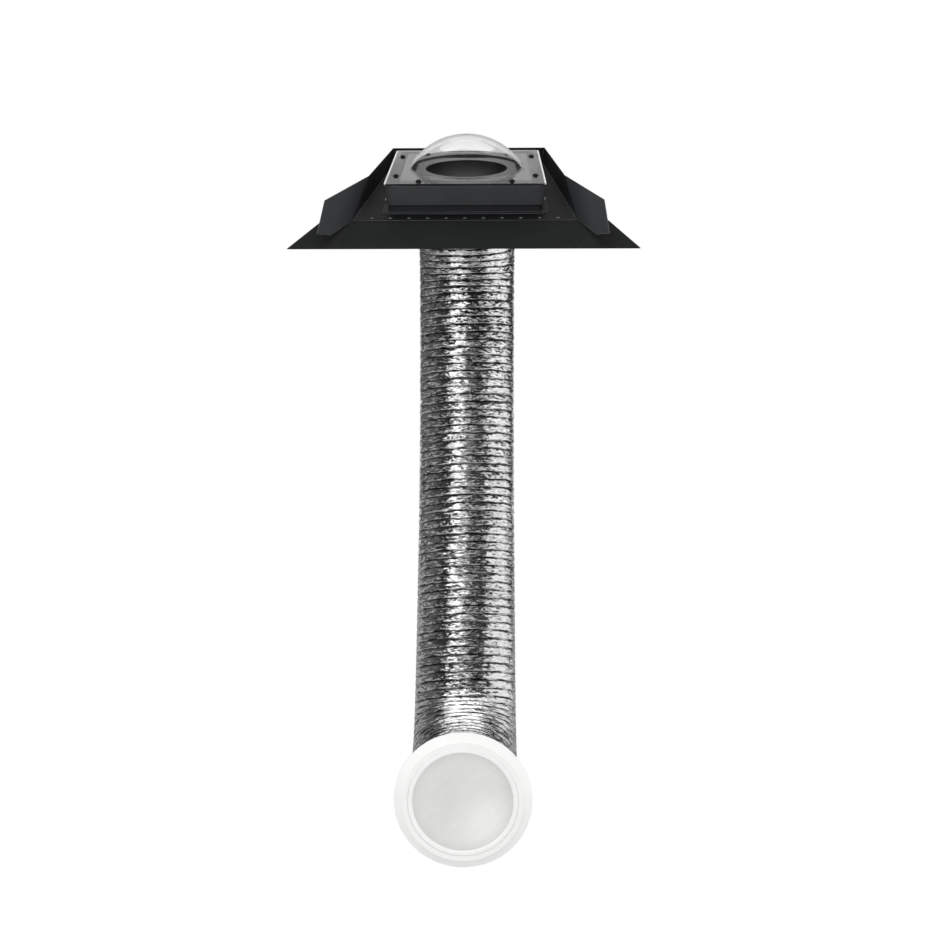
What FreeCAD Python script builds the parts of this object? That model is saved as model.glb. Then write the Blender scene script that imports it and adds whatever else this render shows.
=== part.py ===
import FreeCAD, Part
import math
import os

from FreeCAD import Placement, Rotation, Vector

# Tubular skylight for a tiled roof: a clear dome on a square curb, a folded flashing pan with an apron,
# a ribbed flexible light duct and a round ceiling ring with a frosted diffuser. Millimetres and degrees.
# Origin: middle of the roof opening, on the underside of the pan. +Z is plumb up and -Y is down the roof.
# The roof head is drawn flat (u across, v up the slope, w off the roof) and then tilted to the roof pitch.
# The ceiling ring is drawn on its own axis (z out of the ceiling) and then put on the end of the duct.

# Driving dimensions

ROOF_PITCH = 25.0
FIT = 0.3
SCREW_CROWN_SHARE = 0.6
SCREW_CHEEK_SHARE = 0.45

DUCT_BORE_R = 119.5
DUCT_WALL = 2.0
DUCT_RIB_DEPTH = 4.0
DUCT_RIB_PITCH = 48.0
DUCT_CUFF_LENGTH = 60.0
DUCT_START = 15.0
CEILING_DROP = 1397.5
UPPER_BEND_R = 420.0
RUN_TILT = 26.4
ELBOW_R = 225.0
END_TILT = 90.0

PAN_SHEET = 1.2
PAN_BACK_HALF = 212.0
PAN_FRONT_HALF = 262.0
PAN_BACK_V = 388.0
PAN_FRONT_V = -256.0
PAN_OPENING_INSET = 11.0
PAN_JOGGLE_RUN = 4.0
PAN_RELIEF = 4.0
PAN_RIM_H = 37.0
PAN_RIM_LEAN = 12.0
WING_KINK_V = 22.0
WING_KINK_H = 42.0
WING_FLARE = 26.0
WING_PEAK_REACH = 42.0
WING_PEAK_H = 59.0
WING_TIP_REACH = 190.0
WING_TIP_H = 25.0
WING_HEEL_REACH = 140.0
WING_HEEL_H = 8.0

APRON_SHEET = 1.5
APRON_LAP = 36.0
APRON_DEPTH = 184.0
APRON_DROOP = 3.0
APRON_BACK_SPREAD = 60.0
APRON_FRONT_SPREAD = 117.0
RIVET_COUNT = 11
RIVET_PITCH = 43.3
RIVET_SETBACK = 18.0
RIVET_SHANK_R = 2.0
RIVET_HEAD_R = 4.2
RIVET_HEAD_H = 1.6

CURB_HALF = 183.0
CURB_HEIGHT = 62.0
CURB_SHEET = 1.2
CURB_CORNER_R = 13.0
CURB_LIP = 24.0
CURB_FOOT = 14.0
CAP_STANDOFF = 4.0
CAP_SHEET = 1.2
CAP_SKIRT = 44.0
CAP_SCREW_INSET = 19.0
CAP_SCREW_DROP = 36.0
CAP_SCREW_SHANK_R = 2.0
CAP_SCREW_HEAD_R = 4.0
CAP_SCREW_HEAD_H = 2.4

COLLAR_SHEET = 1.0
COLLAR_FLANGE = 18.8
COLLAR_FLAT_INSET = 14.0
COLLAR_LIP = 16.0

GASKET_H = 3.0
GASKET_INSET = 4.0
GASKET_WIDTH = 30.0
PLATE_OVERHANG = 1.8
PLATE_CORNER_R = 6.0
ACRYLIC = 3.0
DOME_MARGIN = 5.0
DOME_RISE = 75.0
DOME_FOOT_R = 8.0
DOME_SCREW_SPREAD = 110.0
DOME_SCREW_INSET = 22.0
DOME_SCREW_SHANK_R = 2.1
DOME_SCREW_LENGTH = 16.0
DOME_SCREW_HEAD_R = 5.8
DOME_SCREW_HEAD_H = 3.2
WASHER_R = 8.2
WASHER_H = 1.5

CLAMP_SHEET = 1.0
CLAMP_WIDTH = 12.0
CLAMP_HOUSING = 18.0
CLAMP_HOUSING_H = 11.0
CLAMP_SCREW_R = 3.2
CLAMP_SCREW_LENGTH = 30.0
CLAMP_HEAD_R = 4.4
CLAMP_HEAD_H = 5.0

FRAME_WALL = 2.2
FRAME_FLANGE_H = 2.5
FRAME_SHOULDER_H = 4.0
FRAME_SHOULDER_GAP = 1.5
FRAME_FLANGE_INSET = 9.0
FRAME_HOLE_R = 2.4
FRAME_HOLE_INSET = 10.0
FRAME_HOLES = 4
FRAME_HOLE_TURN = 45.0
TRIM_SEAT = 3.3
TRIM_LAND = 11.5
TRIM_BAND = 19.0
TRIM_EDGE_H = 4.5
TRIM_SLOPE_H = 6.8
TRIM_STEP_H = 3.0
TRIM_WALL = 2.2
TRIM_LIP = 9.5
TRIM_LIP_Z = 6.0
SEAL_H = 1.0
LENS_H = 3.0
LENS_GAP = 1.5
BEZEL_WIDTH = 11.2
BEZEL_H = 3.0

# Levels and radii that follow from them

X_AXIS = Vector(1, 0, 0)
Z_AXIS = Vector(0, 0, 1)
ORIGIN = Vector(0, 0, 0)

DUCT_VALLEY_R = DUCT_BORE_R + DUCT_WALL
DUCT_CREST_R = DUCT_VALLEY_R + DUCT_RIB_DEPTH
SLEEVE_R = DUCT_BORE_R - FIT

PITCH_ANGLE = math.radians(ROOF_PITCH)
RUN_ANGLE = math.radians(RUN_TILT)
END_ANGLE = math.radians(END_TILT)
UPPER_DROP = (DUCT_START + DUCT_CUFF_LENGTH) * math.cos(PITCH_ANGLE) + UPPER_BEND_R * math.sin(PITCH_ANGLE)
LOWER_DROP = ELBOW_R * (math.sin(END_ANGLE) - math.sin(RUN_ANGLE)) + DUCT_CUFF_LENGTH * math.cos(END_ANGLE)
RUN_BEND_R = (CEILING_DROP - UPPER_DROP - LOWER_DROP) / math.sin(RUN_ANGLE)

JOGGLE_FOOT_V = PAN_FRONT_V + APRON_LAP + PAN_JOGGLE_RUN + FIT
JOGGLE_TOP_V = JOGGLE_FOOT_V - PAN_JOGGLE_RUN
STRIP_TOP = APRON_SHEET + PAN_SHEET
APRON_BACK_HALF = PAN_FRONT_HALF + APRON_BACK_SPREAD
APRON_FRONT_HALF = PAN_FRONT_HALF + APRON_FRONT_SPREAD
PAN_OPENING_HALF = CURB_HALF - PAN_OPENING_INSET
CURB_TOP = PAN_SHEET + CURB_HEIGHT
CAP_TOP = CURB_TOP + CAP_SHEET
PLATE_BOTTOM = CAP_TOP + GASKET_H
PLATE_TOP = PLATE_BOTTOM + ACRYLIC
CAP_HALF = CURB_HALF + CAP_STANDOFF + CAP_SHEET
CAP_CORNER_R = CURB_CORNER_R + CAP_STANDOFF
CAP_HOLE_R = SLEEVE_R + FIT
CAP_SCREW_V = CURB_HALF - CAP_SCREW_INSET
COLLAR_DROP = DUCT_START + DUCT_CUFF_LENGTH
COLLAR_FLANGE_R = SLEEVE_R + COLLAR_FLANGE
COLLAR_FLAT_HALF = COLLAR_FLANGE_R - COLLAR_FLAT_INSET
COLLAR_MOUTH_R = SLEEVE_R - COLLAR_SHEET - COLLAR_LIP
PLATE_HALF = CAP_HALF + PLATE_OVERHANG
GASKET_HALF = PLATE_HALF - GASKET_INSET
DOME_BASE_R = COLLAR_FLANGE_R + DOME_MARGIN

TRIM_BORE_R = SLEEVE_R + TRIM_SEAT
TRIM_LIP_R = TRIM_BORE_R - TRIM_LIP
TRIM_STEP_R = TRIM_BORE_R + TRIM_LAND
TRIM_R = TRIM_STEP_R + TRIM_BAND
FRAME_FLANGE_R = TRIM_R - FRAME_FLANGE_INSET
FRAME_SHOULDER_R = DUCT_CREST_R + FRAME_SHOULDER_GAP
FRAME_HOLE_PITCH_R = FRAME_FLANGE_R - FRAME_HOLE_INSET
LENS_R = TRIM_BORE_R - LENS_GAP
TRIM_SLOPE_Z = TRIM_EDGE_H + TRIM_SLOPE_H
TRIM_FACE_Z = TRIM_SLOPE_Z + TRIM_STEP_H
SEAL_Z = TRIM_LIP_Z + TRIM_WALL
LENS_Z = SEAL_Z + SEAL_H
BEZEL_Z = LENS_Z + LENS_H

ROOF = Placement(ORIGIN, Rotation(X_AXIS, ROOF_PITCH))


# Shared shapes

def turned(points):
    """Solid of revolution about the Z axis from a closed outline of (radius, height) corners."""
    corners = [Vector(radius, 0, height) for radius, height in points]
    outline = Part.makePolygon(corners + corners[:1])
    return Part.Face(outline).revolve(ORIGIN, Z_AXIS, 360)


def tube(inner_r, outer_r, low, high):
    """Round ring between two radii and two heights."""
    return turned([(inner_r, low), (outer_r, low), (outer_r, high), (inner_r, high)])


def rod(radius, low, high, u=0.0, v=0.0):
    """Upright round rod at (u, v)."""
    return Part.makeCylinder(radius, high - low, Vector(u, v, low), Z_AXIS)


def square_block(half, corner_r, low, high):
    """Square block about the Z axis with rounded upright corners."""
    block = Part.makeBox(2 * half, 2 * half, high - low, Vector(-half, -half, low))
    uprights = [edge for edge in block.Edges if abs(edge.tangentAt(edge.FirstParameter).z) > 0.5]
    return block.makeFillet(corner_r, uprights)


def square_ring(outer_half, corner_r, width, low, high):
    """Square frame of even width with rounded corners."""
    inner_r = max(corner_r - width, FIT)
    inner = square_block(outer_half - width, inner_r, low, high)
    return square_block(outer_half, corner_r, low, high).cut(inner)


def facet(corners):
    """Flat face over a ring of corners."""
    return Part.Face(Part.makePolygon(corners + corners[:1]))


def folded_sheet(outlines, thickness):
    """Sheet of even thickness on flat panels, mitred along the fold lines that they share.

    The panels' corners run anticlockwise as seen from the side that the thickness is measured to.
    """
    normals = [(ring[1] - ring[0]).cross(ring[2] - ring[1]).normalize() for ring in outlines]

    def lifted(corner):
        """The corner moved to where the far faces of all panels at it meet."""
        meeting = []
        for ring, normal in zip(outlines, normals):
            if any(corner.isEqual(other, 1e-6) for other in ring):
                meeting.append(normal)
        first = meeting[0]
        if len(meeting) == 1:
            return corner + first * thickness
        second = meeting[1]
        if len(meeting) == 2:
            return corner + (first + second) * (thickness / (1 + first.dot(second)))
        third = meeting[2]
        across = second.cross(third)
        reach = across + third.cross(first) + first.cross(second)
        return corner + reach * (thickness / first.dot(across))

    panels = []
    for ring in outlines:
        far_ring = [lifted(corner) for corner in ring]
        faces = [facet(ring), facet(far_ring)]
        for index in range(len(ring)):
            start, end = ring[index - 1], ring[index]
            far_start, far_end = far_ring[index - 1], far_ring[index]
            faces += [facet([start, end, far_end]), facet([start, far_end, far_start])]
        panels.append(Part.Solid(Part.Shell(faces)))
    return panels[0].fuse(panels[1:]).removeSplitter()


def put(shape, place):
    """Copy of a shape moved to a place."""
    copy = shape.copy()
    copy.Placement = place.multiply(shape.Placement)
    return copy


def mirrored(corners):
    """The same outline on the other side of the centre line, still running anticlockwise."""
    return [Vector(-corner.x, corner.y, corner.z) for corner in reversed(corners)]


def pan_head_screw(shank_r, length, head_r, head_h):
    """Screw along -Z with the underside of its rounded head at the origin."""
    crown_r = SCREW_CROWN_SHARE * head_r
    cheek_h = SCREW_CHEEK_SHARE * head_h
    corners = [(0, -length), (shank_r, shank_r - length), (shank_r, 0), (head_r, 0)]
    return turned(corners + [(head_r, cheek_h), (crown_r, head_h), (0, head_h)])


# Roof head

def dome_screw_places():
    """Eight places round the dome plate, two on each side."""
    inset = PLATE_HALF - DOME_SCREW_INSET
    places = []
    for side in (-1, 1):
        for step in (-1, 1):
            places.append((step * DOME_SCREW_SPREAD, side * inset))
            places.append((side * inset, step * DOME_SCREW_SPREAD))
    return places


def drilled(shape, places, radius, low, high):
    """Shape with an upright round hole at each place."""
    for u, v in places:
        shape = shape.cut(rod(radius, low, high, u, v))
    return shape


def make_dome():
    """Clear square plate with a shallow dome blown from it, one acrylic moulding."""
    sphere_r = (DOME_BASE_R ** 2 + DOME_RISE ** 2) / (2 * DOME_RISE)
    centre_w = PLATE_TOP + DOME_RISE - sphere_r
    foot_w = PLATE_TOP + DOME_FOOT_R
    foot_r = math.sqrt((sphere_r + DOME_FOOT_R) ** 2 - (foot_w - centre_w) ** 2)

    def skin(inset):
        """Apex, three arc points and foot of the skin that lies inset below the outside."""
        radius = sphere_r - inset
        bend = DOME_FOOT_R + inset
        share = radius / (sphere_r + DOME_FOOT_R)
        tangent = Vector(foot_r * share, 0, centre_w + (foot_w - centre_w) * share)
        half_way = math.atan2(tangent.x, tangent.z - centre_w) / 2
        middle = Vector(radius * math.sin(half_way), 0, centre_w + radius * math.cos(half_way))
        start = math.atan2(tangent.z - foot_w, tangent.x - foot_r)
        turn = (start % (2 * math.pi) + 1.5 * math.pi) / 2
        knee = Vector(foot_r + bend * math.cos(turn), 0, foot_w + bend * math.sin(turn))
        apex = Vector(0, 0, centre_w + radius)
        foot = Vector(foot_r, 0, foot_w - bend)
        cap_arc = Part.Arc(apex, middle, tangent).toShape()
        foot_arc = Part.Arc(tangent, knee, foot).toShape()
        return apex, foot, [cap_arc, foot_arc]

    outer_apex, outer_foot, outer_edges = skin(0.0)
    inner_apex, inner_foot, inner_edges = skin(ACRYLIC)
    rim = Part.makeLine(outer_foot, inner_foot)
    crown = Part.makeLine(inner_apex, outer_apex)
    outline = Part.Wire(Part.__sortEdges__(outer_edges + [rim] + inner_edges + [crown]))
    blown = Part.Face(outline).revolve(ORIGIN, Z_AXIS, 360)
    plate = square_block(PLATE_HALF, PLATE_CORNER_R, PLATE_BOTTOM, PLATE_TOP)
    plate = plate.cut(rod(foot_r, PLATE_BOTTOM, PLATE_TOP))
    dome = plate.fuse(blown).removeSplitter()
    return drilled(dome, dome_screw_places(), DOME_SCREW_SHANK_R + FIT, PLATE_BOTTOM, PLATE_TOP)


def make_dome_gasket():
    """Flat rubber frame between the dome plate and the curb cap."""
    ring = square_ring(GASKET_HALF, PLATE_CORNER_R, GASKET_WIDTH, CAP_TOP, PLATE_BOTTOM)
    return drilled(ring, dome_screw_places(), DOME_SCREW_SHANK_R + FIT, CAP_TOP, PLATE_BOTTOM)


def make_dome_washers():
    """Eight bonded washers on the dome plate."""
    hole_r = DOME_SCREW_SHANK_R + FIT
    top = PLATE_TOP + WASHER_H
    corners = [(hole_r, PLATE_TOP), (WASHER_R, PLATE_TOP), (DOME_SCREW_HEAD_R + FIT, top), (hole_r, top)]
    washer = turned(corners)
    return Part.makeCompound([washer.translated(Vector(u, v, 0)) for u, v in dome_screw_places()])


def make_dome_screws():
    """Eight screws through the dome plate and gasket into the cap."""
    screw = pan_head_screw(DOME_SCREW_SHANK_R, DOME_SCREW_LENGTH, DOME_SCREW_HEAD_R, DOME_SCREW_HEAD_H)
    seat = PLATE_TOP + WASHER_H
    return Part.makeCompound([screw.translated(Vector(u, v, seat)) for u, v in dome_screw_places()])


def cap_screw_rods(radius, inner_half, outer_half):
    """Four round rods across the cap skirts, on the two sides of the curb."""
    level = CAP_TOP - CAP_SCREW_DROP
    rods = []
    for side in (-1, 1):
        for v in (-CAP_SCREW_V, CAP_SCREW_V):
            start = Vector(side * inner_half, v, level)
            rods.append(Part.makeCylinder(radius, outer_half - inner_half, start, Vector(side, 0, 0)))
    return rods


def make_cap_screws():
    """Four small screws that hold the cap's skirts to the upstand."""
    level = CAP_TOP - CAP_SCREW_DROP
    length = CAP_HALF - CURB_HALF + 2 * CURB_SHEET + CAP_SCREW_HEAD_R
    screw = pan_head_screw(CAP_SCREW_SHANK_R, length, CAP_SCREW_HEAD_R, CAP_SCREW_HEAD_H)
    screws = []
    for side in (-1, 1):
        for v in (-CAP_SCREW_V, CAP_SCREW_V):
            seat = Placement(Vector(side * CAP_HALF, v, level), Rotation(Vector(0, 1, 0), side * 90))
            screws.append(put(screw, seat))
    return Part.makeCompound(screws)


def make_curb_cap():
    """Folded cap over the curb: a flat top with the round tube hole, and a skirt all round."""
    outer = square_block(CAP_HALF, CAP_CORNER_R + CAP_SHEET, CAP_TOP - CAP_SKIRT, CAP_TOP)
    hollow = square_block(CAP_HALF - CAP_SHEET, CAP_CORNER_R, CAP_TOP - CAP_SKIRT, CURB_TOP)
    cap = outer.cut(hollow).cut(rod(CAP_HOLE_R, CURB_TOP, CAP_TOP))
    cap = drilled(cap, dome_screw_places(), DOME_SCREW_SHANK_R + FIT, CURB_TOP, CAP_TOP)
    return cap.cut(cap_screw_rods(CAP_SCREW_SHANK_R + FIT, CURB_HALF, CAP_HALF))


def make_curb_upstand():
    """Square upstand with rounded corners, an in-turned lip on top and an out-turned foot on the pan."""
    wall = square_ring(CURB_HALF, CURB_CORNER_R, CURB_SHEET, PAN_SHEET, CURB_TOP)
    lip = square_ring(CURB_HALF, CURB_CORNER_R, CURB_LIP, CURB_TOP - CURB_SHEET, CURB_TOP)
    foot_r = CURB_CORNER_R + CURB_FOOT
    foot_half = CURB_HALF + CURB_FOOT
    foot = square_ring(foot_half, foot_r, CURB_FOOT + CURB_SHEET, PAN_SHEET, PAN_SHEET + CURB_SHEET)
    upstand = wall.fuse([lip, foot]).removeSplitter()
    screw_way = DOME_SCREW_SHANK_R + FIT
    upstand = drilled(upstand, dome_screw_places(), screw_way, CURB_TOP - CURB_SHEET, CURB_TOP)
    reach = CURB_HALF - CURB_SHEET
    return upstand.cut(cap_screw_rods(CAP_SCREW_SHANK_R + FIT, reach, CURB_HALF))


def on_plane(point, normal, v, w):
    """Point of a steep plane seen from the side at (v, w)."""
    u = point.x - (normal.y * (v - point.y) + normal.z * (w - point.z)) / normal.x
    return Vector(u, v, w)


def wing_corners():
    """Corners of the left side of the pan: rim panel, then flared blade in front of the crease."""
    back = Vector(-PAN_BACK_HALF, PAN_BACK_V, 0)
    along = (Vector(-PAN_FRONT_HALF, PAN_FRONT_V, 0) - back).normalize()
    outward = Vector(along.y, -along.x, 0)
    lean = math.radians(PAN_RIM_LEAN)
    rim_normal = along.cross(Z_AXIS * math.cos(lean) + outward * math.sin(lean))
    corner = on_plane(back, rim_normal, PAN_BACK_V + PAN_RIM_H * math.tan(lean), PAN_RIM_H)
    kink = on_plane(back, rim_normal, WING_KINK_V, WING_KINK_H)
    hinge = on_plane(back, rim_normal, JOGGLE_FOOT_V, 0)
    step = on_plane(back, rim_normal, JOGGLE_TOP_V, APRON_SHEET + FIT)
    front = on_plane(back, rim_normal, PAN_FRONT_V, APRON_SHEET + FIT)
    blade_normal = Rotation(kink - front, -WING_FLARE).multVec(rim_normal)
    peak = on_plane(front, blade_normal, PAN_FRONT_V - WING_PEAK_REACH, WING_PEAK_H)
    tip = on_plane(front, blade_normal, PAN_FRONT_V - WING_TIP_REACH, WING_TIP_H)
    heel = on_plane(front, blade_normal, PAN_FRONT_V - WING_HEEL_REACH, WING_HEEL_H)
    return [hinge, back, corner, kink, front, step], [front, kink, peak, tip, heel]


def make_pan():
    """Flashing pan folded from one sheet: base, back rim, side rims that end in flared blades, and a
    front strip that is joggled up over the apron."""
    left_rim, left_blade = wing_corners()
    hinge, back, corner = left_rim[:3]
    step = Vector(hinge.x + PAN_RELIEF, JOGGLE_TOP_V, APRON_SHEET)
    edge = Vector(hinge.x, PAN_FRONT_V, APRON_SHEET)
    spine = [back, hinge, step, edge]
    floor = [list(pair) + mirrored(pair) for pair in zip(spine, spine[1:])]
    back_rim = mirrored([corner, back]) + [corner, back]
    sides = [left_rim, left_blade, mirrored(left_rim), mirrored(left_blade)]
    pan = folded_sheet(floor + [back_rim] + sides, PAN_SHEET)
    pan = pan.cut(square_block(PAN_OPENING_HALF, CURB_CORNER_R, -PAN_SHEET, 2 * PAN_SHEET))
    return drilled(pan, rivet_places(), RIVET_SHANK_R + FIT, 0, STRIP_TOP)


def make_apron():
    """Soft sheet under the front of the pan, spread and dressed down over the tiles below."""
    droop = math.radians(APRON_DROOP)
    back_v = PAN_FRONT_V + APRON_LAP
    front_v = PAN_FRONT_V - APRON_DEPTH * math.cos(droop)
    top = APRON_SHEET
    front_w = top - APRON_DEPTH * math.sin(droop)
    spread = (APRON_FRONT_HALF - APRON_BACK_HALF) / (back_v - front_v)
    bend_half = APRON_BACK_HALF + spread * APRON_LAP
    lap = [(APRON_BACK_HALF, back_v, top), (bend_half, PAN_FRONT_V, top)]
    skirt = [(bend_half, PAN_FRONT_V, top), (APRON_FRONT_HALF, front_v, front_w)]
    panels = []
    for (back_half, rear_v, rear_w), (front_half, fore_v, fore_w) in (lap, skirt):
        left = [Vector(-back_half, rear_v, rear_w), Vector(-front_half, fore_v, fore_w)]
        panels.append(left + mirrored(left))
    apron = folded_sheet(panels, -APRON_SHEET)
    return drilled(apron, rivet_places(), RIVET_SHANK_R + FIT, 0, APRON_SHEET)


def rivet_places():
    """Even row of places along the front edge of the pan."""
    v = PAN_FRONT_V + RIVET_SETBACK
    middle = (RIVET_COUNT - 1) / 2
    return [((index - middle) * RIVET_PITCH, v) for index in range(RIVET_COUNT)]


def make_apron_rivets():
    """Row of dome-headed rivets through the pan and the apron, set over below."""
    top = STRIP_TOP + RIVET_HEAD_H
    crown_r = (RIVET_SHANK_R + RIVET_HEAD_R) / 2
    foot = [(0, -RIVET_HEAD_H), (crown_r, -RIVET_HEAD_H), (crown_r, 0), (RIVET_SHANK_R, 0)]
    head = [(RIVET_SHANK_R, STRIP_TOP), (RIVET_HEAD_R, STRIP_TOP), (crown_r, top), (0, top)]
    rivet = turned(foot + head)
    return Part.makeCompound([rivet.translated(Vector(u, v, 0)) for u, v in rivet_places()])


def make_tube_collar():
    """Sheet-metal sleeve in the duct's top, hung from a flange with four flats and an in-turned lip."""
    flange_top = CAP_TOP + COLLAR_SHEET
    flats = square_block(COLLAR_FLAT_HALF, CURB_CORNER_R, CAP_TOP, flange_top)
    flange = tube(COLLAR_MOUTH_R, COLLAR_FLANGE_R, CAP_TOP, flange_top).common(flats)
    sleeve = tube(SLEEVE_R - COLLAR_SHEET, SLEEVE_R, -COLLAR_DROP, CAP_TOP)
    return sleeve.fuse(flange).removeSplitter()


# Duct

def duct_stretches():
    """Stretches of the duct's centre line from the top: (length, tilt at its start, tilt at its end)."""
    start_tilt = -ROOF_PITCH
    stretches = [(DUCT_CUFF_LENGTH, start_tilt, start_tilt)]
    for bend_r, tilt_from, tilt_to in (
        (UPPER_BEND_R, start_tilt, 0.0),
        (RUN_BEND_R, 0.0, RUN_TILT),
        (ELBOW_R, RUN_TILT, END_TILT),
    ):
        stretches.append((bend_r * math.radians(tilt_to - tilt_from), tilt_from, tilt_to))
    return stretches + [(DUCT_CUFF_LENGTH, END_TILT, END_TILT)]


def heading(tilt):
    """Unit direction down the duct; a positive tilt leans towards -Y."""
    angle = math.radians(tilt)
    return Vector(0, -math.sin(angle), -math.cos(angle))


def along_stretch(start, stretch, distance):
    """Point and tilt at a distance along one straight or evenly bent stretch."""
    length, tilt_from, tilt_to = stretch
    tilt = tilt_from + (tilt_to - tilt_from) * distance / length
    if tilt_to == tilt_from:
        return start + heading(tilt) * distance, tilt
    half_turn = math.radians(tilt - tilt_from) / 2
    bend_r = length / math.radians(tilt_to - tilt_from)
    chord = 2 * bend_r * math.sin(half_turn)
    return start + heading((tilt + tilt_from) / 2) * chord, tilt


def duct_start():
    """Top end of the duct, under the pan on the tube's axis."""
    return ROOF.multVec(Vector(0, 0, -DUCT_START))


def duct_station(distance):
    """Point and tilt of the centre line at a distance from the top end."""
    point = duct_start()
    for stretch in duct_stretches():
        if distance <= stretch[0]:
            return along_stretch(point, stretch, distance)
        point = along_stretch(point, stretch, stretch[0])[0]
        distance -= stretch[0]
    return point + heading(END_TILT) * distance, END_TILT


def duct_length():
    """Whole length of the duct along its centre line."""
    return sum(stretch[0] for stretch in duct_stretches())


def hoop(radius, distance):
    """Circle square to the centre line, with its seam on the same side all the way down."""
    point, tilt = duct_station(distance)
    circle = Part.Wire(Part.makeCircle(radius))
    circle.Placement = Placement(point, Rotation(X_AXIS, 180 - tilt))
    return circle


def make_duct():
    """Ribbed foil duct with plain cuffs: crest and valley hoops with straight flanks, and a round bore."""
    length = duct_length()
    ribbed = length - 2 * DUCT_CUFF_LENGTH
    count = round(ribbed / DUCT_RIB_PITCH)
    pitch = ribbed / count
    outside = [hoop(DUCT_VALLEY_R, 0), hoop(DUCT_VALLEY_R, DUCT_CUFF_LENGTH)]
    bore = [hoop(DUCT_BORE_R, 0), hoop(DUCT_BORE_R, DUCT_CUFF_LENGTH)]
    for index in range(count):
        start = DUCT_CUFF_LENGTH + index * pitch
        outside += [hoop(DUCT_CREST_R, start + pitch / 2), hoop(DUCT_VALLEY_R, start + pitch)]
        bore.append(hoop(DUCT_BORE_R, start + pitch))
    outside.append(hoop(DUCT_VALLEY_R, length))
    bore.append(hoop(DUCT_BORE_R, length))
    return Part.makeLoft(outside, True, True).cut(Part.makeLoft(bore, True, True))


def clamp_placement(distance):
    """Frame of a clamp on the duct: Z down the duct and Y away from the room."""
    point, tilt = duct_station(distance)
    return Placement(point, Rotation(X_AXIS, 180 - tilt))


def clamp_screw_r():
    """Distance of the clamp's screw from the duct's axis."""
    return DUCT_VALLEY_R + FIT + CLAMP_SHEET + CLAMP_HOUSING_H / 2


def make_clamp_band():
    """Worm-drive band round a cuff, with its screw housing."""
    inner_r = DUCT_VALLEY_R + FIT
    half = CLAMP_WIDTH / 2
    band = tube(inner_r, inner_r + CLAMP_SHEET, -half, half)
    depth = CLAMP_SHEET + CLAMP_HOUSING_H
    corner = Vector(-CLAMP_HOUSING / 2, -inner_r - depth, -half)
    housing = Part.makeBox(CLAMP_HOUSING, depth, CLAMP_WIDTH, corner)
    housing = housing.cut(rod(inner_r + CLAMP_SHEET / 2, -half, half))
    way = Vector(-CLAMP_HOUSING / 2, -clamp_screw_r(), 0)
    housing = housing.cut(Part.makeCylinder(CLAMP_SCREW_R + FIT, CLAMP_HOUSING, way, X_AXIS))
    return band.fuse(housing).removeSplitter()


def make_clamp_screw():
    """Worm screw that lies across the clamp's housing."""
    screw = pan_head_screw(CLAMP_SCREW_R, CLAMP_SCREW_LENGTH, CLAMP_HEAD_R, CLAMP_HEAD_H)
    seat = Vector(CLAMP_HOUSING / 2, -clamp_screw_r(), 0)
    lie = Placement(seat, Rotation(Vector(0, 1, 0), 90))
    return put(screw, lie)


# Ceiling ring, drawn with the ceiling's face at z = 0 and the room at +z

def make_ceiling_frame():
    """White moulded frame: a screw flange, a shoulder for the ceiling hole and a spigot in the duct."""
    inner_r = SLEEVE_R - FRAME_WALL
    shoulder = -FRAME_SHOULDER_H
    end = shoulder - DUCT_CUFF_LENGTH
    outline = [(inner_r, end), (SLEEVE_R, end), (SLEEVE_R, shoulder), (FRAME_SHOULDER_R, shoulder)]
    outline += [(FRAME_SHOULDER_R, 0), (FRAME_FLANGE_R, 0)]
    outline += [(FRAME_FLANGE_R, FRAME_FLANGE_H), (inner_r, FRAME_FLANGE_H)]
    return drilled(turned(outline), frame_hole_places(), FRAME_HOLE_R, 0, FRAME_FLANGE_H)


def frame_hole_places():
    """Screw holes on a circle round the ceiling frame's flange."""
    turns = [math.radians(FRAME_HOLE_TURN + 360 * index / FRAME_HOLES) for index in range(FRAME_HOLES)]
    return [(FRAME_HOLE_PITCH_R * math.cos(turn), FRAME_HOLE_PITCH_R * math.sin(turn)) for turn in turns]


def make_trim_ring():
    """Stepped white trim ring: sloped outer band, raised land, lens seat and a skirt on to the frame."""
    face = TRIM_FACE_Z
    wall = TRIM_WALL
    skirt_r = TRIM_BORE_R + wall
    outside = [(TRIM_R, 0), (TRIM_R, TRIM_EDGE_H), (TRIM_STEP_R, TRIM_SLOPE_Z)]
    outside += [(TRIM_STEP_R, face), (TRIM_BORE_R, face)]
    seat = [(TRIM_BORE_R, SEAL_Z), (TRIM_LIP_R, SEAL_Z), (TRIM_LIP_R, TRIM_LIP_Z), (TRIM_BORE_R, TRIM_LIP_Z)]
    skirt = [(TRIM_BORE_R, FRAME_FLANGE_H), (skirt_r, FRAME_FLANGE_H), (skirt_r, face - wall)]
    inside = [(TRIM_STEP_R - wall, face - wall), (TRIM_STEP_R - wall, TRIM_SLOPE_Z - wall)]
    inside += [(TRIM_R - wall, TRIM_EDGE_H - wall), (TRIM_R - wall, 0)]
    return turned(outside + seat + skirt + inside)


def make_diffuser_seal():
    """Thin foam ring under the diffuser."""
    return tube(TRIM_LIP_R, LENS_R, SEAL_Z, LENS_Z)


def make_diffuser():
    """Frosted round lens."""
    return rod(LENS_R, LENS_Z, BEZEL_Z)


def make_diffuser_bezel():
    """Retaining ring that holds the lens down, with a chamfered face."""
    outer_r = TRIM_BORE_R - FIT
    inner_r = outer_r - BEZEL_WIDTH
    half = BEZEL_H / 2
    top = BEZEL_Z + BEZEL_H
    corners = [(inner_r, BEZEL_Z), (outer_r, BEZEL_Z), (outer_r, top - half), (outer_r - half, top)]
    return turned(corners + [(inner_r + BEZEL_H, top), (inner_r, top - half)])


# Assembly

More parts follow.
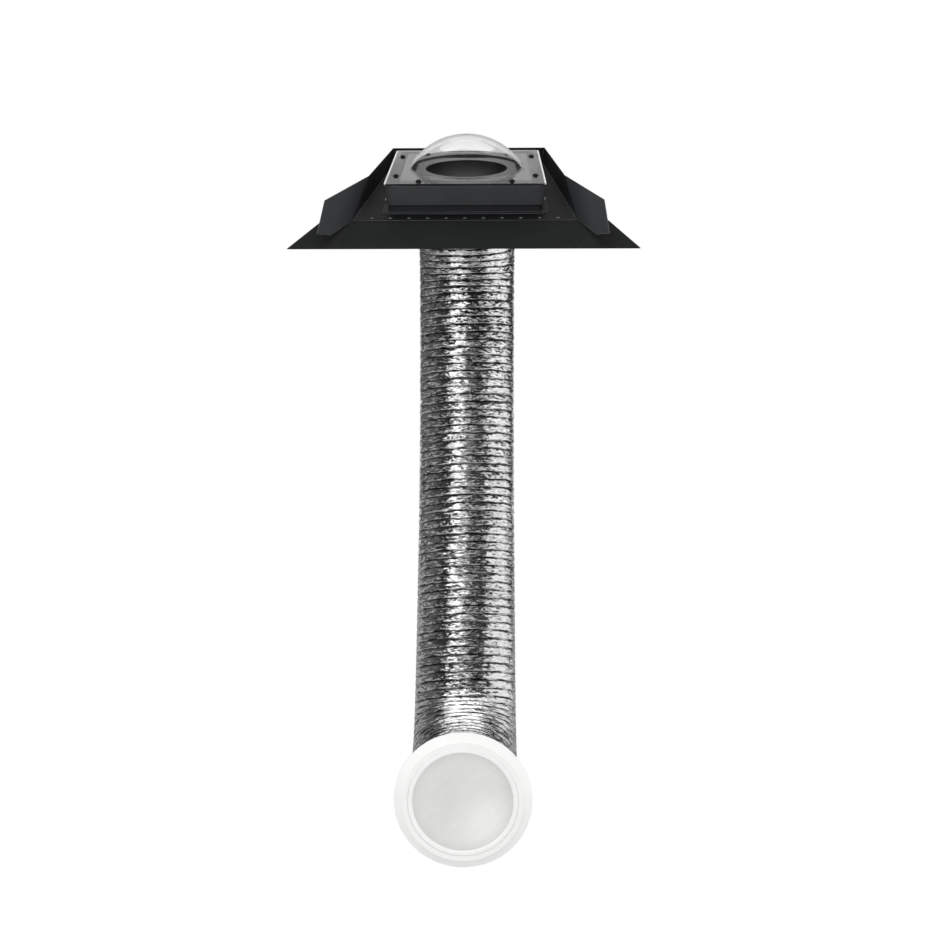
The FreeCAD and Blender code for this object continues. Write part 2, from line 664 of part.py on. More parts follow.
def build():
    """Every piece in its place, by node name."""
    ring_point, ring_tilt = duct_station(duct_length() + FIT + FRAME_SHOULDER_H)
    ceiling = Placement(ring_point, Rotation(X_AXIS, 180 - ring_tilt))
    upper_clamp = clamp_placement(DUCT_CUFF_LENGTH / 2)
    lower_clamp = clamp_placement(duct_length() - DUCT_CUFF_LENGTH / 2)
    as_drawn = Placement()
    placed = {
        "dome": (make_dome(), ROOF),
        "dome_gasket": (make_dome_gasket(), ROOF),
        "dome_washers": (make_dome_washers(), ROOF),
        "dome_screws": (make_dome_screws(), ROOF),
        "curb_cap": (make_curb_cap(), ROOF),
        "cap_screws": (make_cap_screws(), ROOF),
        "curb_upstand": (make_curb_upstand(), ROOF),
        "pan": (make_pan(), ROOF),
        "apron": (make_apron(), ROOF),
        "apron_rivets": (make_apron_rivets(), ROOF),
        "tube_collar": (make_tube_collar(), ROOF),
        "duct": (make_duct(), as_drawn),
        "upper_clamp_band": (make_clamp_band(), upper_clamp),
        "upper_clamp_screw": (make_clamp_screw(), upper_clamp),
        "lower_clamp_band": (make_clamp_band(), lower_clamp),
        "lower_clamp_screw": (make_clamp_screw(), lower_clamp),
        "ceiling_frame": (make_ceiling_frame(), ceiling),
        "trim_ring": (make_trim_ring(), ceiling),
        "diffuser_seal": (make_diffuser_seal(), ceiling),
        "diffuser": (make_diffuser(), ceiling),
        "diffuser_bezel": (make_diffuser_bezel(), ceiling),
    }
    return {name: put(shape, place) for name, (shape, place) in placed.items()}


os.makedirs("parts", exist_ok=True)
for node, solid in build().items():
    solid.exportStep(os.path.join("parts", node + ".step"))
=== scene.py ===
import math

import bmesh
import bpy
from mathutils import Matrix, Vector


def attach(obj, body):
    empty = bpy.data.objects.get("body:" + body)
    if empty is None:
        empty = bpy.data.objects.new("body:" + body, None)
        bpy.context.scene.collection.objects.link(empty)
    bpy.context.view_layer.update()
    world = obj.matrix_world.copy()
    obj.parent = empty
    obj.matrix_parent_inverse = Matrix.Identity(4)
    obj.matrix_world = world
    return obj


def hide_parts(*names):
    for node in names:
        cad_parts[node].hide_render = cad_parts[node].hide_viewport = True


# Looks of a tubular skylight: clear dome on a black curb, folded flashing pan with an apron, ribbed foil
# duct, and a white ceiling ring with a frosted lens. Sizes are in millimetres unless they say otherwise.

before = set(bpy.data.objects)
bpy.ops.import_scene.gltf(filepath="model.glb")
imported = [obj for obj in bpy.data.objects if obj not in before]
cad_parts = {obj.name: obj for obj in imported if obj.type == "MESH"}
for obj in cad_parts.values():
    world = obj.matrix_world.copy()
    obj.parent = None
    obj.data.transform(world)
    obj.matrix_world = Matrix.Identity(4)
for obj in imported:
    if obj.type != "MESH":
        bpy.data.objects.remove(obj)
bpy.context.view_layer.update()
scene = bpy.context.scene

MM = 0.001

# Sizes that the solids share

ROOF_PITCH = math.radians(25.0)
ROOF_TURN = Matrix.Rotation(ROOF_PITCH, 4, "X")
PLATE_HALF = 190.0
PLATE_TOP = 70.4
WASHER_H = 1.5
DOME_SCREW_SPREAD = 110.0
DOME_SCREW_INSET = 22.0
CAP_HALF = 188.2
CAP_TOP = 64.4
CAP_SCREW_V = 164.0
CAP_SCREW_DROP = 36.0
PAN_FRONT_V = -256.0
STRIP_TOP = 2.7
RIVET_COUNT = 11
RIVET_PITCH = 43.3
RIVET_SETBACK = 18.0
DUCT_START = 15.0
DUCT_CUFF = 60.0
DUCT_BORE_R = 119.5
DUCT_VALLEY_R = 121.5
# Bends of the duct: radius, tilt at the start and tilt at the end, in degrees
DUCT_BENDS = ((420.0, -25.0, 0.0), (2309.92, 0.0, 26.4), (225.0, 26.4, 90.0))
RING_CENTRE = (0.0, -435.7, -1397.5)

# Sizes of the foil, which is finer than the solid duct

FOIL_VALLEY_R = 122.0
RIB_PITCH = 20.7
RIB_HEIGHT = 2.9
# One rib from its upper edge down: share of the pitch, share of the height
RIB_PROFILE = ((0.03, 0.1), (0.12, 0.6), (0.2, 0.88), (0.34, 0.98), (0.6, 1.0), (0.9, 0.97), (0.95, 0.92))
CRINKLE_DEPTH = 1.1
CRINKLE_ALONG = 7.0
CRINKLE_ROUND = 18.0

# Extents of the finishes, and of the painted light and shade

BLADE_START = 240.0
BLADE_FULL = 285.0
SAWN_START = 4.5
SAWN_FULL = 3.0
DOME_EDGE_START = 4.0
DOME_EDGE_FULL = 16.0
FLANGE_DEPTH = 2.0
SLEEVE_DARK_DROP = 8.0
SLEEVE_GREY_DROP = 42.0
LENS_GLOW = (52.0, 0.0, -50.0)
LENS_GLOW_NEAR = 10.0
LENS_GLOW_FAR = 100.0
LENS_RIM_START = 85.0
LENS_RIM_FULL = 122.0
# Facets of the foil: size, and how far each leans
FOIL_FACETS = ((6.5, 0.4), (3.2, 0.5))
# Shade in the foil's folds, in shares of a rib: how far it strays, its place and half its width
FOLD_STRAY = 0.4
FOLD_PLACE = 0.28
FOLD_HALF_WIDTH = 0.1


# Small helpers

def linear(code):
    """Linear colour with full alpha from an sRGB hex code."""
    shares = [int(code[start:start + 2], 16) / 255 for start in (1, 3, 5)]
    return tuple(s / 12.92 if s <= 0.04045 else ((s + 0.055) / 1.055) ** 2.4 for s in shares) + (1.0,)


def grain(size):
    """Texture scale, in repeats per metre, for features about so many millimetres wide."""
    return 1 / (size * MM)


def node(tree, kind, inputs=None, **settings):
    """Adds a node; inputs maps a socket's name or number to a value or to another node's output."""
    made = tree.nodes.new(kind)
    for name, value in settings.items():
        setattr(made, name, value)
    for socket, value in (inputs or {}).items():
        if isinstance(value, bpy.types.NodeSocket):
            tree.links.new(value, made.inputs[socket])
        else:
            made.inputs[socket].default_value = value
    return made


def new_finish(name, **even):
    """New material; the values that are the same all over are set on its shader's own sockets."""
    material = bpy.data.materials.new(name)
    material.use_nodes = True
    shader = material.node_tree.nodes["Principled BSDF"]
    for socket, value in even.items():
        shader.inputs[socket.replace("_", " ")].default_value = value
    return material, material.node_tree, shader


def roof_point(u, v, w):
    """Point of the roof head, from across, up the slope and off the roof, in metres."""
    return ROOF_TURN @ (Vector((u, v, w)) * MM)


# Materials

def powder_coat(name, dark, pale, blade, shine):
    """Polyester powder coat on folded steel: matt black with a fine orange peel, paler on its edges from wear
    and a painted edge highlight, and with a painted sheen on blades that flare out past the tray."""
    material, tree, shader = new_finish(name, Specular_IOR_Level=shine)
    place = node(tree, "ShaderNodeTexCoord").outputs["Object"]
    cloud = node(tree, "ShaderNodeTexNoise", {"Vector": place, "Scale": grain(110), "Detail": 3.0})
    tray = node(
        tree, "ShaderNodeMix", {0: cloud.outputs[0], 6: linear(dark), 7: linear(pale)}, data_type="RGBA"
    )
    # Painted sheen: blades that flare out past the tray turn paler
    across = node(tree, "ShaderNodeSeparateXYZ", {0: place}).outputs["X"]
    aside = node(tree, "ShaderNodeMath", {0: across}, operation="ABSOLUTE")
    painted_blade_sheen = node(
        tree, "ShaderNodeMapRange",
        {"Value": aside.outputs[0], "From Min": BLADE_START * MM, "From Max": BLADE_FULL * MM},
    )
    body = node(
        tree, "ShaderNodeMix", {0: painted_blade_sheen.outputs[0], 6: tray.outputs[2], 7: linear(blade)}, data_type="RGBA"
    )
    # Edges paler: partly wear, partly a painted edge highlight
    rounded = node(tree, "ShaderNodeBevel", {"Radius": 1.6 * MM}, samples=6)
    facing = node(tree, "ShaderNodeNewGeometry").outputs["Normal"]
    likeness = node(
        tree, "ShaderNodeVectorMath", {0: rounded.outputs[0], 1: facing}, operation="DOT_PRODUCT"
    )
    edge = node(
        tree, "ShaderNodeMapRange",
        {"Value": likeness.outputs["Value"], "From Min": 0.985, "From Max": 0.8, "To Max": 0.75},
    )
    colour = node(
        tree, "ShaderNodeMix", {0: edge.outputs[0], 6: body.outputs[2], 7: linear("#8a8d90")},
        data_type="RGBA",
    )
    # The real orange peel is about half a millimetre wide; it is drawn at 2 mm so that it shows
    peel = node(tree, "ShaderNodeTexNoise", {"Vector": place, "Scale": grain(2.0), "Detail": 2.0})
    sheen = node(
        tree, "ShaderNodeMapRange", {"Value": cloud.outputs[0], "To Min": 0.5, "To Max": 0.66}
    )
    bump = node(
        tree, "ShaderNodeBump",
        {"Strength": 0.25, "Distance": 0.15 * MM, "Height": peel.outputs[0], "Normal": rounded.outputs[0]},
    )
    tree.links.new(colour.outputs[2], shader.inputs["Base Color"])
    tree.links.new(sheen.outputs[0], shader.inputs["Roughness"])
    tree.links.new(bump.outputs[0], shader.inputs["Normal"])
    return material


def apron_sheet():
    """Soft flashing sheet, crimped and coated: a greenish black with a dull, slightly pebbled face."""
    material, tree, shader = new_finish("coated_flashing_sheet", Specular_IOR_Level=0.08)
    place = node(tree, "ShaderNodeTexCoord").outputs["Object"]
    cloud = node(tree, "ShaderNodeTexNoise", {"Vector": place, "Scale": grain(60), "Detail": 4.0})
    colour = node(
        tree, "ShaderNodeMix", {0: cloud.outputs[0], 6: linear("#191c1a"), 7: linear("#222623")},
        data_type="RGBA",
    )
    pebble = node(tree, "ShaderNodeTexNoise", {"Vector": place, "Scale": grain(3.0), "Detail": 4.0})
    dull = node(
        tree, "ShaderNodeMapRange", {"Value": pebble.outputs[0], "To Min": 0.6, "To Max": 0.85}
    )
    bump = node(
        tree, "ShaderNodeBump", {"Strength": 0.4, "Distance": 0.3 * MM, "Height": pebble.outputs[0]}
    )
    tree.links.new(colour.outputs[2], shader.inputs["Base Color"])
    tree.links.new(dull.outputs[0], shader.inputs["Roughness"])
    tree.links.new(bump.outputs[0], shader.inputs["Normal"])
    return material


def clear_acrylic():
    """Cast acrylic blown into a dome: polished and clear, with sawn edges that gather light and go white."""
    material, tree, shader = new_finish("cast_acrylic_clear", IOR=1.49)
    place = node(tree, "ShaderNodeTexCoord").outputs["Object"]
    flat = node(tree, "ShaderNodeMapping", {"Vector": place, "Rotation": (-ROOF_PITCH, 0.0, 0.0)})
    parts = node(tree, "ShaderNodeSeparateXYZ", {0: flat.outputs[0]})
    aside = node(tree, "ShaderNodeMath", {0: parts.outputs["X"]}, operation="ABSOLUTE")
    reach = node(
        tree, "ShaderNodeMath", {0: aside.outputs[0], 1: parts.outputs["Y"]}, operation="MAXIMUM"
    )
    sawn = node(
        tree, "ShaderNodeMapRange",
        {
            "Value": reach.outputs[0],
            "From Min": (PLATE_HALF - SAWN_START) * MM,
            "From Max": (PLATE_HALF - SAWN_FULL) * MM,
            "To Min": 1.0,
            "To Max": 0.25,
        },
    )
    haze = node(tree, "ShaderNodeTexNoise", {"Vector": place, "Scale": grain(35), "Detail": 5.0})
    polish = node(
        tree, "ShaderNodeMapRange",
        {"Value": haze.outputs[0], "From Min": 0.35, "From Max": 0.8, "To Min": 0.015, "To Max": 0.07},
    )
    # Seen edge on, the dome's wall is tinted a little grey: painted shade for its darker rim
    slant = node(tree, "ShaderNodeLayerWeight", {"Blend": 0.5}).outputs["Facing"]
    edge = node(tree, "ShaderNodeMapRange", {"Value": slant, "From Min": 0.42, "From Max": 0.6}).outputs[0]
    raised = node(
        tree, "ShaderNodeMapRange",
        {
            "Value": parts.outputs["Z"],
            "From Min": (PLATE_TOP + DOME_EDGE_START) * MM,
            "From Max": (PLATE_TOP + DOME_EDGE_FULL) * MM,
        },
    ).outputs[0]
    dome_rim_shade = node(tree, "ShaderNodeMath", {0: edge, 1: raised}, operation="MULTIPLY").outputs[0]
    tint = node(
        tree, "ShaderNodeMix", {0: dome_rim_shade, 6: linear("#ffffff"), 7: linear("#ececec")}, data_type="RGBA"
    )
    tree.links.new(tint.outputs[2], shader.inputs["Base Color"])
    tree.links.new(sawn.outputs[0], shader.inputs["Transmission Weight"])
    tree.links.new(polish.outputs[0], shader.inputs["Roughness"])
    return material


def crinkled_foil():
    """Aluminium foil laminate stretched over a wire helix: mirror bright, creased into small flat facets."""
    material, tree, shader = new_finish("aluminium_foil_laminate", Metallic=1.0)
    lay = node(tree, "ShaderNodeUVMap", uv_map="UVMap").outputs[0]
    facing = node(tree, "ShaderNodeNewGeometry").outputs["Normal"]
    # Creases run round the duct more than along it, so the pattern is drawn out sideways
    drawn = node(tree, "ShaderNodeMapping", {"Vector": lay, "Scale": (1.0, 0.36, 1.0)}).outputs[0]
    wander = node(tree, "ShaderNodeTexNoise", {"Vector": drawn, "Scale": grain(9.0), "Detail": 2.0})
    bent = node(
        tree, "ShaderNodeVectorMath", {0: wander.outputs["Color"], 1: (6.0 * MM,) * 3, 2: drawn},
        operation="MULTIPLY_ADD",
    ).outputs[0]
    # Each facet leans its own way, more up and down than sideways
    for size, lean in FOIL_FACETS:
        facets = node(tree, "ShaderNodeTexVoronoi", {"Vector": bent, "Scale": grain(size)}, feature="F1")
        middle = node(
            tree, "ShaderNodeVectorMath", {0: facets.outputs["Color"], 1: (0.5, 0.5, 0.5)},
            operation="SUBTRACT",
        )
        facing = node(
            tree, "ShaderNodeVectorMath",
            {0: middle.outputs[0], 1: (0.4 * lean, 0.4 * lean, lean), 2: facing}, operation="MULTIPLY_ADD",
        ).outputs[0]
    leaning = node(tree, "ShaderNodeVectorMath", {0: facing}, operation="NORMALIZE")
    folds = node(
        tree, "ShaderNodeTexNoise",
        {"Vector": drawn, "Scale": grain(2.4), "Detail": 3.0, "Roughness": 0.6, "Distortion": 0.5},
    )
    bump = node(
        tree, "ShaderNodeBump",
        {"Strength": 0.5, "Distance": 1.0 * MM, "Height": folds.outputs[0], "Normal": leaning.outputs[0]},
    )
    wide = node(tree, "ShaderNodeTexNoise", {"Vector": lay, "Scale": grain(45), "Detail": 3.0})
    colour = node(
        tree, "ShaderNodeMix", {0: wide.outputs[0], 6: linear("#d2d3d4"), 7: linear("#f4f4f4")},
        data_type="RGBA",
    )
    gloss = node(
        tree, "ShaderNodeMapRange", {"Value": folds.outputs[0], "To Min": 0.04, "To Max": 0.16}
    )
    # Painted shade lies in the fold over each rib
    climb = (grain(RIB_PITCH), grain(math.tau * FOIL_VALLEY_R), 0.0)
    helix = node(tree, "ShaderNodeVectorMath", {0: lay, 1: climb}, operation="DOT_PRODUCT").outputs["Value"]
    strayed = node(
        tree, "ShaderNodeMath", {0: wander.outputs[0], 1: FOLD_STRAY, 2: helix}, operation="MULTIPLY_ADD"
    ).outputs[0]
    near = node(tree, "ShaderNodeMath", {0: strayed, 1: FOLD_PLACE}, operation="ADD").outputs[0]
    phase = node(tree, "ShaderNodeMath", {0: near}, operation="FRACT").outputs[0]
    in_fold = node(
        tree, "ShaderNodeMath", {0: phase, 1: 0.5, 2: FOLD_HALF_WIDTH}, operation="COMPARE"
    ).outputs[0]
    # The shade breaks off and starts again along each fold
    breaks = node(tree, "ShaderNodeTexNoise", {"Vector": drawn, "Scale": grain(15.0), "Detail": 2.0})
    depth = node(
        tree, "ShaderNodeMapRange",
        {"Value": breaks.outputs[0], "From Min": 0.4, "From Max": 0.56, "To Min": 0.15, "To Max": 1.0},
    ).outputs[0]
    shade = node(tree, "ShaderNodeMath", {0: in_fold, 1: depth}, operation="MULTIPLY").outputs[0]
    shaded = node(
        tree, "ShaderNodeMix", {0: shade, 6: colour.outputs[2], 7: linear("#424243")}, data_type="RGBA"
    )
    tree.links.new(shaded.outputs[2], shader.inputs["Base Color"])
    tree.links.new(gloss.outputs[0], shader.inputs["Roughness"])
    tree.links.new(bump.outputs[0], shader.inputs["Normal"])
    return material


def rolled_aluminium():
    """Bright rolled sheet: a pale satin flange, and a sleeve painted dark inside for its shade, with painted
    light greyer toward its foot.
    """
    material, tree, shader = new_finish("rolled_aluminium", Metallic=0.15)
    place = node(tree, "ShaderNodeTexCoord").outputs["Object"]
    flat = node(tree, "ShaderNodeMapping", {"Vector": place, "Rotation": (-ROOF_PITCH, 0.0, 0.0)}).outputs[0]
    drawn = node(tree, "ShaderNodeMapping", {"Vector": flat, "Scale": (0.04, 1.0, 1.0)})
    lines = node(tree, "ShaderNodeTexNoise", {"Vector": drawn.outputs[0], "Scale": grain(1.5), "Detail": 3.0})
    pale = node(
        tree, "ShaderNodeMix", {0: lines.outputs[0], 6: linear("#e2e3e4"), 7: linear("#f6f6f6")},
        data_type="RGBA",
    )
    level = node(tree, "ShaderNodeSeparateXYZ", {0: flat}).outputs["Z"]
    flange = node(
        tree, "ShaderNodeMapRange",
        {"Value": level, "From Min": (CAP_TOP - FLANGE_DEPTH) * MM, "From Max": CAP_TOP * MM},
    )
    # Painted shade: the sleeve is dark inside below its flange, and painted light turns it greyer toward its
    # foot
    mouth = node(
        tree, "ShaderNodeMapRange",
        {
            "Value": level,
            "From Min": (CAP_TOP - SLEEVE_GREY_DROP) * MM,
            "From Max": (CAP_TOP - SLEEVE_DARK_DROP) * MM,
        },
    )
    sleeve = node(
        tree, "ShaderNodeMix", {0: mouth.outputs[0], 6: linear("#363738"), 7: linear("#0c0c0c")},
        data_type="RGBA",
    )
    colour = node(
        tree, "ShaderNodeMix", {0: flange.outputs[0], 6: sleeve.outputs[2], 7: pale.outputs[2]},
        data_type="RGBA",
    )
    gloss = node(
        tree, "ShaderNodeMapRange", {"Value": lines.outputs[0], "To Min": 0.45, "To Max": 0.62}
    )
    tree.links.new(colour.outputs[2], shader.inputs["Base Color"])
    tree.links.new(gloss.outputs[0], shader.inputs["Roughness"])
    return material


def mottled(name, size, detail, tones, gloss, relief=None, **even):
    """Finish with one cloudy pattern, which mixes its two tones, moves its roughness between two levels, and
    lifts its face where a relief is given as a strength and a depth."""
    material, tree, shader = new_finish(name, **even)
    place = node(tree, "ShaderNodeTexCoord").outputs["Object"]
    cloud = node(tree, "ShaderNodeTexNoise", {"Vector": place, "Scale": grain(size), "Detail": detail})
    colour = node(
        tree, "ShaderNodeMix", {0: cloud.outputs[0], 6: linear(tones[0]), 7: linear(tones[1])},
        data_type="RGBA",
    )
    dull = node(
        tree, "ShaderNodeMapRange", {"Value": cloud.outputs[0], "To Min": gloss[0], "To Max": gloss[1]}
    )
    tree.links.new(colour.outputs[2], shader.inputs["Base Color"])
    tree.links.new(dull.outputs[0], shader.inputs["Roughness"])
    if relief:
        strength, depth = relief
        bump = node(
            tree, "ShaderNodeBump",
            {"Strength": strength, "Distance": depth * MM, "Height": cloud.outputs[0]},
        )
        tree.links.new(bump.outputs[0], shader.inputs["Normal"])
    return material


def white_plastic():
    """Moulded ABS: a clean white with a satin face and a faint spark texture."""
    material, tree, shader = new_finish("moulded_abs_white")
    place = node(tree, "ShaderNodeTexCoord").outputs["Object"]
    cloud = node(tree, "ShaderNodeTexNoise", {"Vector": place, "Scale": grain(70), "Detail": 2.0})
    colour = node(
        tree, "ShaderNodeMix", {0: cloud.outputs[0], 6: linear("#f0f0ef"), 7: linear("#f8f8f7")},
        data_type="RGBA",
    )
    # Spark texture is a fraction of a millimetre; it is drawn at 1.2 mm so that it shows
    spark = node(tree, "ShaderNodeTexNoise", {"Vector": place, "Scale": grain(1.2), "Detail": 2.0})
    gloss = node(tree, "ShaderNodeMapRange", {"Value": cloud.outputs[0], "To Min": 0.32, "To Max": 0.44})
    bump = node(tree, "ShaderNodeBump", {"Strength": 0.12, "Distance": 0.08 * MM, "Height": spark.outputs[0]})
    tree.links.new(colour.outputs[2], shader.inputs["Base Color"])
    tree.links.new(gloss.outputs[0], shader.inputs["Roughness"])
    tree.links.new(bump.outputs[0], shader.inputs["Normal"])
    return material


def frosted_lens():
    """Frosted acrylic: pale grey with fine slanting streaks, a painted highlight low on the right and painted
    shade at its rim.
    """
    material, tree, shader = new_finish("frosted_acrylic")
    place = node(tree, "ShaderNodeTexCoord").outputs["Object"]
    slant = node(
        tree, "ShaderNodeMapping",
        {"Vector": place, "Rotation": (0.0, math.radians(-42.0), 0.0), "Scale": (24.0, 1.0, 1.0)},
        vector_type="TEXTURE",
    )
    streaks = node(
        tree, "ShaderNodeTexNoise",
        {"Vector": slant.outputs[0], "Scale": grain(1.3), "Detail": 3.0, "Roughness": 0.55},
    ).outputs[0]
    cloud = node(tree, "ShaderNodeTexNoise", {"Vector": place, "Scale": grain(90), "Detail": 3.0}).outputs[0]
    # Painted highlight: the lens is paler low on the right
    glow_spot = tuple((Vector(RING_CENTRE) + Vector(LENS_GLOW)) * MM)
    glow_gap = node(tree, "ShaderNodeVectorMath", {0: place, 1: glow_spot}, operation="DISTANCE")
    painted_highlight = node(
        tree, "ShaderNodeMapRange",
        {
            "Value": glow_gap.outputs["Value"],
            "From Min": LENS_GLOW_NEAR * MM,
            "From Max": LENS_GLOW_FAR * MM,
            "To Min": 1.0,
            "To Max": 0.0,
        },
        interpolation_type="SMOOTHSTEP",
    ).outputs[0]
    middle = tuple(Vector(RING_CENTRE) * MM)
    reach = node(tree, "ShaderNodeVectorMath", {0: place, 1: middle}, operation="DISTANCE").outputs["Value"]
    # Painted shade: the lens darkens toward its rim
    rim = node(
        tree, "ShaderNodeMapRange",
        {"Value": reach, "From Min": LENS_RIM_START * MM, "From Max": LENS_RIM_FULL * MM, "To Max": -0.3},
        interpolation_type="SMOOTHSTEP",
    ).outputs[0]
    grainy = node(tree, "ShaderNodeMix", {0: 0.4, 2: streaks, 3: cloud}).outputs[0]
    lit = node(tree, "ShaderNodeMath", {0: painted_highlight, 1: 0.45, 2: grainy}, operation="MULTIPLY_ADD").outputs[0]
    tone = node(tree, "ShaderNodeMath", {0: lit, 1: rim}, operation="ADD").outputs[0]
    spread = node(tree, "ShaderNodeMapRange", {"Value": tone, "From Min": 0.25, "From Max": 1.0}).outputs[0]
    colour = node(
        tree, "ShaderNodeMix", {0: spread, 6: linear("#d3d3d1"), 7: linear("#eeeeec")}, data_type="RGBA"
    )
    gloss = node(tree, "ShaderNodeMapRange", {"Value": streaks, "To Min": 0.35, "To Max": 0.55})
    bump = node(tree, "ShaderNodeBump", {"Strength": 0.2, "Distance": 0.1 * MM, "Height": streaks})
    tree.links.new(colour.outputs[2], shader.inputs["Base Color"])
    tree.links.new(gloss.outputs[0], shader.inputs["Roughness"])
    tree.links.new(bump.outputs[0], shader.inputs["Normal"])
    return material


# One black powder coat in three tones: the upstand's and the cap's paler copies are painted light on their
# fronts
BLACK_STEEL = powder_coat("powder_coated_steel_black", "#131415", "#1d1e20", "#35373a", 0.1)
BLACK_STEEL_PAINTED_HALF_LIT = powder_coat("powder_coated_steel_slate", "#232426", "#2d2e30", "#2d2e30", 0.15)
BLACK_STEEL_PAINTED_LIT = powder_coat("powder_coated_steel_charcoal", "#343537", "#424446", "#424446", 0.2)
APRON = apron_sheet()
ACRYLIC = clear_acrylic()
FOIL = crinkled_foil()
COLLAR = rolled_aluminium()
WHITE_ABS = white_plastic()
FROSTED = frosted_lens()

# Brushed stainless strip: grey and softly shiny, with fine lines
STAINLESS = mottled(
    "brushed_stainless_steel", 1.0, 4.0, ("#9b9c9d", "#c8c8c9"), (0.25, 0.45), (0.15, 0.1), Metallic=1.0
)
# Black-oxide steel: oily black with a dull metallic shine on the heads
BLACK_OXIDE = mottled("black_oxide_steel", 3.0, 3.0, ("#101011", "#2b2b2d"), (0.3, 0.5), Metallic=0.6)
# Moulded rubber: matt black with a faint dusty bloom
RUBBER = mottled("moulded_rubber_black", 8.0, 4.0, ("#141414", "#282828"), (0.65, 0.85))
# Zinc-plated steel: pale, slightly milky metal that shows as small bright spots on the black skirt
ZINC = mottled("zinc_plated_steel", 2.0, 3.0, ("#c4c5c4", "#e6e6e4"), (0.25, 0.45), Metallic=0.5)
# Painted aluminium: dark grey rivets, a little paler and glossier than the sheet they hold
RIVET_PAINT = mottled("painted_rivet_grey", 2.5, 2.0, ("#4a4c4e", "#66686a"), (0.25, 0.4))

FINISHES = {
    ACRYLIC: ("dome",),
    BLACK_STEEL: ("pan",),
    BLACK_STEEL_PAINTED_HALF_LIT: ("curb_upstand",),
    BLACK_STEEL_PAINTED_LIT: ("curb_cap",),
    APRON: ("apron",),
    COLLAR: ("tube_collar",),
    STAINLESS: ("upper_clamp_band", "upper_clamp_screw", "lower_clamp_band", "lower_clamp_screw"),
    RUBBER: ("dome_gasket", "dome_washers", "diffuser_seal"),
    WHITE_ABS: ("ceiling_frame", "trim_ring", "diffuser_bezel"),
    FROSTED: ("diffuser",),
}
for finish, names in FINISHES.items():
    for name in names:
        for material_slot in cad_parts[name].material_slots:
            material_slot.material = finish


# Pieces made by node trees

def new_piece(name, mesh):
    """Object for a mesh, at the origin of the scene."""
    piece = bpy.data.objects.new(name, mesh)
    scene.collection.objects.link(piece)
    return piece


def made_by(tree, source, name, sizes):
    """Plain mesh piece that a node tree makes from a source object with these named sizes."""
    modifier = source.modifiers.new("make", "NODES")
    modifier.node_group = tree
    for item in tree.interface.items_tree:
        if item.name in sizes:
            modifier[item.identifier] = sizes[item.name]
    graph = bpy.context.evaluated_depsgraph_get()
    mesh = bpy.data.meshes.new_from_object(source.evaluated_get(graph), depsgraph=graph)
    bpy.data.objects.remove(source)
    return new_piece(name, mesh)


def heading(tilt):
    """Unit direction down the duct; a positive tilt leans towards -Y."""
    angle = math.radians(tilt)
    return Vector((0.0, -math.sin(angle), -math.cos(angle)))


def duct_centre_line():
    """Curve with one Bezier stretch for each cuff and bend of the duct, and the length of the whole."""
    top_tilt = DUCT_BENDS[0][1]
    end_tilt = DUCT_BENDS[-1][2]
    stretches = [(DUCT_CUFF, DUCT_CUFF / 3, top_tilt, top_tilt)]
    length = 2 * DUCT_CUFF
    for bend_r, tilt_from, tilt_to in DUCT_BENDS:
        turn = math.radians(tilt_to - tilt_from)
        length += bend_r * turn
        chord = 2 * bend_r * math.sin(turn / 2)
        reach = 4 / 3 * bend_r * math.tan(turn / 4)
        stretches.append((chord, reach, tilt_from, tilt_to))
    stretches.append((DUCT_CUFF, DUCT_CUFF / 3, end_tilt, end_tilt))
    curve = bpy.data.curves.new("duct_centre_line", "CURVE")
    curve.dimensions = "3D"
    curve.resolution_u = 64
    spline = curve.splines.new("BEZIER")
    spline.bezier_points.add(len(stretches))
    for knot in spline.bezier_points:
        knot.handle_left_type = "FREE"
        knot.handle_right_type = "FREE"
    place = roof_point(0, 0, -DUCT_START)
    for near, far, (chord, reach, tilt_from, tilt_to) in zip(
        spline.bezier_points, spline.bezier_points[1:], stretches
    ):
        near.co = place
        near.handle_right = place + heading(tilt_from) * reach * MM
        place = place + heading((tilt_from + tilt_to) / 2) * chord * MM
        far.co = place
        far.handle_left = place - heading(tilt_to) * reach * MM
    return new_piece("duct_centre_line", curve), length


